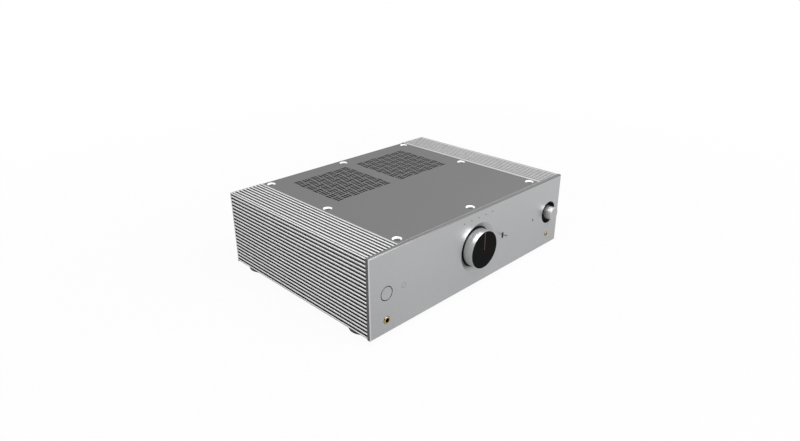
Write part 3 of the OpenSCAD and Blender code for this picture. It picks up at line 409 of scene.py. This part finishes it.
def make_cover_finish():
    """Dark grey on top, with a painted highlight along the front edge, bare metal round the mouths of
    the screw recesses with painted shade farther down, and painted shade nearly black below the skin."""
    material, tree = new_material("cover_coating")
    _, y, z = parts_of(tree, "Object")
    upward = parts_of(tree, "Normal")["Z"]
    # A painted highlight along the front edge, and painted shade below the skin.
    at_front = math_node(tree, "LESS_THAN", y, cover_low[1] + 0.6 * MM)
    below = math_node(tree, "LESS_THAN", z, top_z - 0.1 * MM)
    coated = blend_colour(tree, below, blend_colour(tree, at_front, coat, painted_edge_highlight), painted_slot_shade)
    # Painted shade farther down each screw cone.
    near_mouth = ramp(tree, z, top_z - 2.1 * MM, top_z - 1.5 * MM)
    cone = blend_colour(tree, near_mouth, painted_cone_shade, bare_cone)
    sloping = math_node(tree, "COMPARE", upward, cone_slope, slope_range)
    colour = blend_colour(tree, sloping, coated, cone)
    grained = grain(tree, colour, 3500.0, tone=0.10, drift=0.05, roughness=0.5)
    return finish_surface(material, tree, grained, metallic=0.2, bump=0.03 * MM, specular=0.2)


cover_coating = make_cover_finish()
print(cover_coating.name, "with", len(cover_coating.node_tree.nodes), "nodes")

# %% [markdown]
# ## Gold plate
# The jack rings and the rear sockets are gold plated, so a metallic surface with a yellow colour is
# right for both. A jack's bore is a deep narrow hole that no light reaches. A second, dark piece could
# line it, but its depth behind the front face picks it out, so the same finish turns dark there:
# painted shade.

# %% Gold plate
# The near black of the bores is painted shade.
gold, painted_bore_shade = rgba(0.46, 0.35, 0.15), rgba(0.004)
bore_starts = 0.5 * MM


def make_gold_finish():
    """Gold, but painted shade makes it dark in the jacks' mouths and bores: in the front half of the
    object, and farther back than half a millimetre in front of the panel's face."""
    material, tree = new_material("gold_plate")
    y = parts_of(tree, "Object")["Y"]
    # Painted shade in the jacks' mouths and bores.
    in_front_half = math_node(tree, "LESS_THAN", y, 0.0)
    behind_face = math_node(tree, "GREATER_THAN", y, front_y - bore_starts)
    colour = blend_colour(tree, both(tree, in_front_half, behind_face), gold, painted_bore_shade)
    grained = grain(tree, colour, 4000.0, roughness=0.16)
    return finish_surface(material, tree, grained, metallic=1.0, bump=0.01 * MM)


gold_plate = make_gold_finish()
print(gold_plate.name, "with", len(gold_plate.node_tree.nodes), "nodes")

# %% [markdown]
# ## The knobs' aluminium
# A knob is turned from bar. The tool leaves its side brighter than its blasted face, and a smooth side
# throws the lamp back at the panel, which is the glow beside the volume knob. The selector is blasted
# all over, so its side is rougher and throws back less. Each knob sinks into a well, where painted
# shade darkens its side. The two differ only in numbers, so one function makes both.

# %% Knob aluminium
# The near black on a knob's side down in its well is painted shade.
knob_face_tone, painted_well_shade = rgba(0.45), rgba(0.02)


def make_knob_finish(name, side, roughness, shade_start, shade_end):
    """A turned side of the given tone, with flat faces in the same quieter tone as the panel. Painted
    shade darkens the side between two depths behind the front face, down in the knob's well."""
    material, tree = new_material(name)
    y = parts_of(tree, "Object")["Y"]
    # Painted shade on the side, deep in the well.
    deep = ramp(tree, y, front_y + shade_start * MM, front_y + shade_end * MM, curve="SMOOTHSTEP")
    around = blend_colour(tree, deep, rgba(side), painted_well_shade)
    colour = blend_colour(tree, faces_towards(tree, "Y", 0.93, 0.98), around, knob_face_tone)
    grained = grain(tree, colour, 2500.0, roughness=roughness)
    return finish_surface(material, tree, grained, metallic=1.0, bump=0.01 * MM)


turned_aluminium = make_knob_finish("turned_aluminium", 0.69, 0.31, 6.0, 9.0)
blasted_aluminium = make_knob_finish("blasted_aluminium", 0.56, 0.50, 1.0, 4.0)
print(turned_aluminium.name, "and", blasted_aluminium.name)

# %% [markdown]
# ## The other finishes
# Screws, feet, boards, sockets and the black sheet have one tone each, with a grain that suits it:
# coarse and matt for rubber, drawn out round the tape of the winding, hardly any for glass. The
# record gives every node a material slot, so one table from slot to finish dresses them all, where a
# list of sixty nodes would be long and easy to get wrong.

# %% Table of finishes
finishes = {
    "front_aluminium": panel_aluminium,
    "profile_aluminium": fin_aluminium,
    "cover_metal": cover_coating,
    "black_sheet": plain_finish(
        "black_coating", rgba(0.006), 3000.0, roughness=0.55, tone=0.3, specular=0.08),
    "plate_steel": plain_finish("plate_coating", rgba(0.10), 3000.0, roughness=0.5, tone=0.15),
    "screw_steel": plain_finish("screw_steel", rgba(0.10), 5000.0, metallic=0.8, roughness=0.35),
    "inner_steel": plain_finish("plated_steel", rgba(0.5), 5000.0, metallic=1.0, roughness=0.3),
    "foot_metal": plain_finish("foot_coating", rgba(0.035), 3000.0, roughness=0.45, tone=0.2),
    "pad_rubber": plain_finish(
        "pad_rubber", rgba(0.02), 2500.0, roughness=0.8, tone=0.4, bump=0.05 * MM),
    "knob_aluminium": turned_aluminium,
    "knob_black": plain_finish(
        "black_glass", rgba(0.004), 800.0, roughness=0.2, bump=0.0, specular=0.02),
    "pointer_copper": plain_finish(
        "copper_line", rgba(0.11, 0.055, 0.032), 2500.0, roughness=0.35, specular=0.2),
    "gold_plate": gold_plate,
    "black_plastic": plain_finish("black_plastic", rgba(0.015), 2500.0, roughness=0.45, tone=0.3),
    "light_plastic": plain_finish("light_plastic", rgba(0.7, 0.7, 0.66), 2500.0, roughness=0.4),
    "lens_dark": plain_finish("smoked_lens", rgba(0.02), 900.0, roughness=0.08, bump=0.0),
    "board_laminate": plain_finish(
        "board_laminate", rgba(0.02, 0.13, 0.06), 1500.0, roughness=0.35),
    "winding": plain_finish(
        "taped_winding", rgba(0.45, 0.30, 0.07), 900.0, stretch=(1, 1, 6), tone=0.4),
    "can_black": plain_finish("can_sleeve", rgba(0.02, 0.02, 0.035), 1500.0, roughness=0.25),
}
slots = {part["node"]: part["material_slot"] for part in frame["record"]["subparts"]}
for name, piece in frame["nodes"].items():
    piece.data.materials.clear()
    piece.data.materials.append(finishes[slots[name]])
print(len(finishes), "finishes on", len(frame["nodes"]), "nodes")

# %% [markdown]
# ## Turned pieces
# Knobs, button and jack rings are turned on a lathe. Blender's Screw modifier can spin a drawn outline
# too, but an outline worked out with numpy keeps every radius and depth as a number, so one outline
# carried round an axis gives each of them here. Sharp corners never catch light, so each corner of an
# outline is rounded first: a small curve takes its place. The whole grid of points is one array.


# %% Outlines
def soften(corners, steps=6):
    """Rounds an outline of rows (radius, height, rounding). Near a corner B, the curve
    (1-t)^2 A + 2t(1-t) B + t^2 C takes its place, where A and C lie on the two edges at the corner's
    own rounding from B. A corner with no rounding stays one point."""
    corners = np.array(corners, float)
    points, reach = corners[:, :2], corners[:, 2:]
    before, after = np.roll(points, 1, axis=0) - points, np.roll(points, -1, axis=0) - points
    start = points + before * reach / np.linalg.norm(before, axis=1, keepdims=True)
    end = points + after * reach / np.linalg.norm(after, axis=1, keepdims=True)
    t = np.linspace(0, 1, steps)[None, :, None]
    curve = ((1 - t) ** 2 * start[:, None] + 2 * t * (1 - t) * points[:, None]
             + t ** 2 * end[:, None])
    kept = (reach > 0) | (np.arange(steps) == 0)
    return curve[kept]


def grid_faces(rows, columns, wrap_rows):
    """The quads of a grid whose columns join up, and whose rows join up too where wanted."""
    row = np.arange(rows if wrap_rows else rows - 1)[:, None]
    column = np.arange(columns)[None, :]
    below, beside = (row + 1) % rows, (column + 1) % columns
    corners = (row * columns + column, row * columns + beside, below * columns + beside,
               below * columns + column)
    return np.stack(np.broadcast_arrays(*corners), axis=-1).reshape(-1, 4)


# %% From arrays to a piece
def make_piece(name, points, quads, triangles, body, slot, replaced=None):
    """Puts arrays into a mesh, turns the faces outwards, and joins the piece to its body. The volume
    is a sixth of the sum of a . (b x c) over the triangles, and is negative when they face inwards."""
    faces = [np.array(quads).reshape(-1, 4), np.array(triangles, int).reshape(-1, 3)]
    fans = np.concatenate([faces[0][:, [0, 1, 2]], faces[0][:, [0, 2, 3]], faces[1]])
    a, b, c = points[fans[:, 0]], points[fans[:, 1]], points[fans[:, 2]]
    volume = np.einsum("ij,ij->", a, np.cross(b, c)) / 6
    if volume < 0:
        faces = [group[:, ::-1] for group in faces]
    data = bpy.data.meshes.new(name)
    data.from_pydata(points.tolist(), [], faces[0].tolist() + faces[1].tolist())
    data.shade_smooth()
    data.set_sharp_from_angle(angle=math.radians(35))
    data.materials.append(finishes[slot])
    piece = bpy.data.objects.new(name, data)
    bpy.context.scene.collection.objects.link(piece)
    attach(piece, body)
    if replaced:
        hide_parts(replaced)
    print(name, len(points), "points, volume", round(abs(volume) / MM ** 3), "cubic millimetres")
    return piece


# %% From an outline to a turned piece
def axis_of(node):
    """The point where a node's axis meets the front face."""
    low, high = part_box(node)
    return (low[0] + high[0]) / 2, front_y, (low[2] + high[2]) / 2


def sizes_of(node):
    """A round node's radius, its reach in front of the front face, and its back, in millimetres."""
    low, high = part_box(node)
    return (high[0] - low[0]) / 2 / MM, (front_y - low[1]) / MM, (front_y - high[1]) / MM


def turned(name, node, outline, body, slot, steps=144):
    """Turns an outline of radius and height round the node's axis, which points out of the front
    panel: the point (r, h) goes to (x + r cos a, y - h, z + r sin a). Where the outline starts and
    ends at radius zero, each end is one shared point, and otherwise the outline is a loop."""
    x, y, z = axis_of(node)
    outline = np.array(outline, float) * MM
    capped = outline[0, 0] == 0
    rings = outline[1:-1] if capped else outline
    angle = np.linspace(0, 2 * math.pi, steps, endpoint=False)
    radius, height = rings[:, :1], rings[:, 1:]
    grid = np.stack([x + radius * np.cos(angle), y - height + 0 * angle,
                     z + radius * np.sin(angle)], axis=-1).reshape(-1, 3)
    quads, triangles = grid_faces(len(rings), steps, not capped), []
    if capped:
        first_pole, last_pole = len(grid), len(grid) + 1
        column = np.arange(steps)
        beside, last = (column + 1) % steps, (len(rings) - 1) * steps
        first_fan = np.stack([column * 0 + first_pole, beside, column], axis=1)
        last_fan = np.stack([column * 0 + last_pole, last + column, last + beside], axis=1)
        triangles = np.concatenate([first_fan, last_fan])
        grid = np.concatenate([grid, [[x, y - outline[0, 1], z], [x, y - outline[-1, 1], z]]])
    return make_piece(name, grid, quads, triangles, body, slot, node)

# %% [markdown]
# ## Volume knob
# The knob is a wide aluminium turning with a seat for its black face and a rounded outer edge. The
# rounding is what draws the thin bright line round the face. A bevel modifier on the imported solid
# would have to work on its loose triangles, so the knob is turned afresh from the solid's own sizes.


# %% Volume knob
def knob_inside(hollow_r, rounding, back, floor):
    """The hidden end of a knob's outline: a shallow hollow in its back, then the bore for its shaft."""
    hollow_deep, bore_r = 1, 3.05
    return [(hollow_r, back, rounding), (hollow_r, back + hollow_deep, 0),
            (bore_r, back + hollow_deep, 0), (bore_r, floor, 0), (0, floor, 0)]


knob_r, knob_out, knob_back = sizes_of("volume_knob")
seat_r, seat_deep, knob_wall = sizes_of("volume_knob_face")[0] + 0.05, 0.8, 4
turned("turned_volume_knob", "volume_knob", soften([
    (0, knob_out - seat_deep, 0), (seat_r, knob_out - seat_deep, 0), (seat_r, knob_out, 0.05),
    (knob_r, knob_out, 0.15), (knob_r, knob_back, 0.3),
    *knob_inside(9, 0.1, knob_back, knob_out - knob_wall)]), "volume_dial", "knob_aluminium")

# %% [markdown]
# ## Selector knob and power button
# The selector is a small plain cylinder with a slightly hollow face. The power button lies flush with
# the panel, and its face is a shallow dish that the finger finds: its depth falls with the square of
# the distance from the rim. A narrow step round the button, as wide as the dark line that shows round
# it, ends on a flange behind. Both are turned as the volume knob is.

# %% Selector knob
selector_r, selector_out, selector_back = sizes_of("selector_knob")
face_hollow, face_rim, selector_wall = 0.15, 1.1, 3
selector = turned("turned_selector_knob", "selector_knob", soften([
    (0, selector_out - face_hollow, 0), (selector_r - face_rim, selector_out, 0.3),
    (selector_r, selector_out, 0.6), (selector_r, selector_back, 0.3),
    *knob_inside(6.5, 0, selector_back, selector_out - selector_wall)]),
    "selector_dial", "knob_aluminium")
selector.data.materials[0] = blasted_aluminium

# %% Power button
button_r, dish_deep = sizes_of("power_button")[0], 0.35
dish_r, cap_r, stem_r = button_r - 0.8, button_r - 0.65, 3.5
cap_back, flange_front, flange_back, stem_end = -3.5, -3.6, -4.2, -16
radius = np.linspace(0, dish_r, 12)
dish = np.stack([radius, dish_deep * ((radius / dish_r) ** 2 - 1)], axis=1)
behind_dish = soften([
    (cap_r, 0, 0.1), (cap_r, cap_back, 0.1), (button_r, flange_front, 0.1),
    (button_r, flange_back, 0.1), (stem_r, flange_back, 0), (stem_r, stem_end, 0.2),
    (0, stem_end, 0)])
turned("dished_power_button", "power_button", np.concatenate([dish, behind_dish]),
       "power_key", "front_aluminium")

# %% [markdown]
# ## Jack rings
# Each jack is held by a gold-plated ring with a bevelled edge and a countersunk mouth, so that a plug
# finds its way in. A torus would be quicker but has no flat front. Here the outline is a loop, so the
# turned surface closes on itself as a tube with the jack's bore through it.


# %% Jack rings
def jack_ring(name, node, outer, sleeve, bore, bevel):
    """A bevelled ring in front of the panel, on a sleeve that goes through it."""
    proud, edge, mouth, sleeve_end = 0.85, 0.05, 0.2, -8
    turned(name, node, soften([
        (bore + 0.1, proud, 0.1), (outer - bevel, proud, 0.1), (outer, edge, 0.04), (outer, 0, 0),
        (sleeve, 0, 0), (sleeve, sleeve_end, 0), (bore, sleeve_end, 0), (bore, mouth, 0.2)]),
        "chassis", "gold_plate", steps=96)


jack_ring("rolled_headphone_ring", "headphone_ring", 5.75, 4.7, 3.2, 0.6)
jack_ring("rolled_aux_ring", "aux_ring", 3.75, 3.0, 1.8, 0.47)

# %% [markdown]
# ## Standby mark
# Beside the button a small ring with a bar is printed, the common mark for standby. Ink could be drawn
# by a mask in the panel's own material, but a mask is never sharper than its pixels once it is baked.
# So a closed band a few hundredths of a millimetre thick stands for it: a rectangle carried along an
# arc, and one carried along a line.


# %% Standby mark
def band(name, path, across, half_line, y_low, y_high):
    """Carries a rectangle along a path in the panel's plane: each path point P gives four corners,
    P + w N and P - w N, at the two depths, and the two ends are closed by one quad each."""
    corners = [(side, y) for side, y in ((1, y_low), (1, y_high), (-1, y_high), (-1, y_low))]
    rows = [np.stack([path[:, 0] + side * half_line * across[:, 0], 0 * path[:, 0] + y,
                      path[:, 1] + side * half_line * across[:, 1]], axis=-1)
            for side, y in corners]
    points = np.stack(rows, axis=1).reshape(-1, 3)
    last = 4 * (len(path) - 1)
    ends = [[3, 2, 1, 0], [last, last + 1, last + 2, last + 3]]
    quads = np.concatenate([grid_faces(len(path), 4, False), ends])
    return make_piece(name, points, quads, [], "chassis", "black_plastic")


mark_middle = np.array([-154.5 * MM, axis_of("power_button")[2]])
mark_r, half_line, half_gap = 3.9 * MM, 0.4 * MM, 35
ink = (front_y - 0.03 * MM, front_y + 0.02 * MM)
arc = np.radians(np.linspace(90 + half_gap, 450 - half_gap, 60))
outward = np.stack([np.cos(arc), np.sin(arc)], axis=1)
mark_ring = band("standby_mark_ring", mark_middle + mark_r * outward, outward, half_line, *ink)
bar = mark_middle + np.array([[0, 0.6 * MM], [0, 5.0 * MM]])
sideways = np.array([[1.0, 0.0], [1.0, 0.0]])
mark_bar = band("standby_mark_bar", bar, sideways, half_line, *ink)
printed_ink = plain_finish("printed_ink", rgba(0.22), 2500.0, roughness=0.5)
for mark in (mark_ring, mark_bar):
    mark.data.materials[0] = printed_ink

# %% [markdown]
# ## White surroundings
# The picture's ground is pure white. Strong light on a white floor would bleach the metal too. Instead
# Light Path tells camera, mirror and glass rays from the others: those three see white, and the light
# that falls on the object comes from a dimmer sky and soft lamps.


# %% Sky
def seen_directly(tree, mirrored=1.0):
    """1 for camera rays, and the given share for glossy and transmission rays: rays that show the
    surroundings."""
    path = add_node(tree, "ShaderNodeLightPath").outputs
    bent = math_node(tree, "MAXIMUM", path["Is Glossy Ray"], path["Is Transmission Ray"])
    bent = math_node(tree, "MULTIPLY", bent, mirrored)
    return math_node(tree, "MAXIMUM", path["Is Camera Ray"], bent)


def make_world(ambient):
    """White where it is seen, and a plain grey sky of the given strength where it only lights."""
    world = bpy.data.worlds.new("studio")
    world.use_nodes = True
    tree = world.node_tree
    tree.nodes.clear()
    strength = math_node(tree, "MULTIPLY_ADD", seen_directly(tree), 1 - ambient, ambient)
    sky = add_node(tree, "ShaderNodeBackground", {"Color": rgba(1.0), "Strength": strength})
    add_node(tree, "ShaderNodeOutputWorld", {"Surface": sky.outputs[0]})
    bpy.context.scene.world = world
    print("sky lights with", ambient)


make_world(ambient=0.15)

# %% [markdown]
# ## Floor
# The object stands on a white sheet that shows only a faint shadow at its foot. A shadow catcher would
# need compositing, so the floor is part matt, which takes the shadow, and part its own white. It is
# wholly white far away, where a horizon would show in the lower views.


# %% Floor
def rise_from_foot(tree, least, most, reach):
    """Rises with the distance from the object's footprint, from least at its edge to most at reach:
    the length of max(|p| - half the footprint, 0)."""
    place = add_node(tree, "ShaderNodeTexCoord").outputs["Object"]

    def vector_node(operation, *values):
        return add_node(tree, "ShaderNodeVectorMath", dict(enumerate(values)), operation=operation)

    size = vector_node("ABSOLUTE", place).outputs[0]
    beyond = vector_node("SUBTRACT", size, (half_width, -front_y, 0)).outputs[0]
    outside = vector_node("MAXIMUM", beyond, (0, 0, 0)).outputs[0]
    distance = vector_node("LENGTH", outside).outputs["Value"]
    return ramp(tree, distance, 0.0, reach, least, most)


def make_floor(size, glow):
    """A pale floor: mostly its own white where it is seen, with some of it left to take the shadow.
    Far from the object it is all white, so that no horizon shows. Mirror rays find it a little darker
    at the object's foot: painted shade, which the metal shows in its reflections."""
    half = size / 2
    data = bpy.data.meshes.new("floor")
    data.from_pydata([(-half, -half, 0), (half, -half, 0), (half, half, 0), (-half, half, 0)], [],
                     [(0, 1, 2, 3)])
    floor = bpy.data.objects.new("floor", data)
    bpy.context.scene.collection.objects.link(floor)
    material, tree = new_material("floor")
    matt = add_node(tree, "ShaderNodeBsdfDiffuse", {"Color": rgba(0.55)})
    white = add_node(tree, "ShaderNodeEmission", {"Color": rgba(1.0), "Strength": 1.0})
    # Painted shade: mirror rays find the floor darker near the object's foot.
    seen = seen_directly(tree, mirrored=rise_from_foot(tree, 0.45, 0.98, reach=0.2))
    share = both(tree, seen, rise_from_foot(tree, glow, 1.0, reach=1.0))
    mixed = add_node(tree, "ShaderNodeMixShader", {0: share, 1: matt.outputs[0],
                                                   2: white.outputs[0]})
    add_node(tree, "ShaderNodeOutputMaterial", {"Surface": mixed.outputs[0]})
    data.materials.append(material)
    print("floor", size, "metres wide")


make_floor(size=12.0, glow=0.96)

# %% [markdown]
# ## Lamps
# A large soft box above and in front lights the panel, the tops of the fins and the cover, and a weak
# one behind draws the far edges. Small lamps would be easier to place, but their hard highlights and
# shadows don't suit satin metal.


# %% Soft lamps
def soft_lamp(name, towards, distance, width, height, strength):
    """A flat lamp that looks at the object from a direction, with its strength in watts."""
    data = bpy.data.lights.new(name, "AREA")
    data.shape = "RECTANGLE"
    data.size, data.size_y = width, height
    data.energy = strength
    lamp = bpy.data.objects.new(name, data)
    direction = Vector(towards).normalized()
    middle = Vector((0, 0, 0.06))
    aim = (-direction).to_track_quat("-Z", "Y").to_matrix().to_4x4()
    lamp.matrix_world = Matrix.Translation(middle + direction * distance) @ aim
    bpy.context.scene.collection.objects.link(lamp)
    print(name, "lamp at", [round(value, 2) for value in lamp.matrix_world.translation])


soft_lamp("key", (-0.03, -0.57, 0.80), distance=1.5, width=1.6, height=0.7, strength=29.0)
soft_lamp("back_rim", (-0.45, 0.62, 0.64), distance=1.6, width=0.8, height=0.8, strength=4.0)
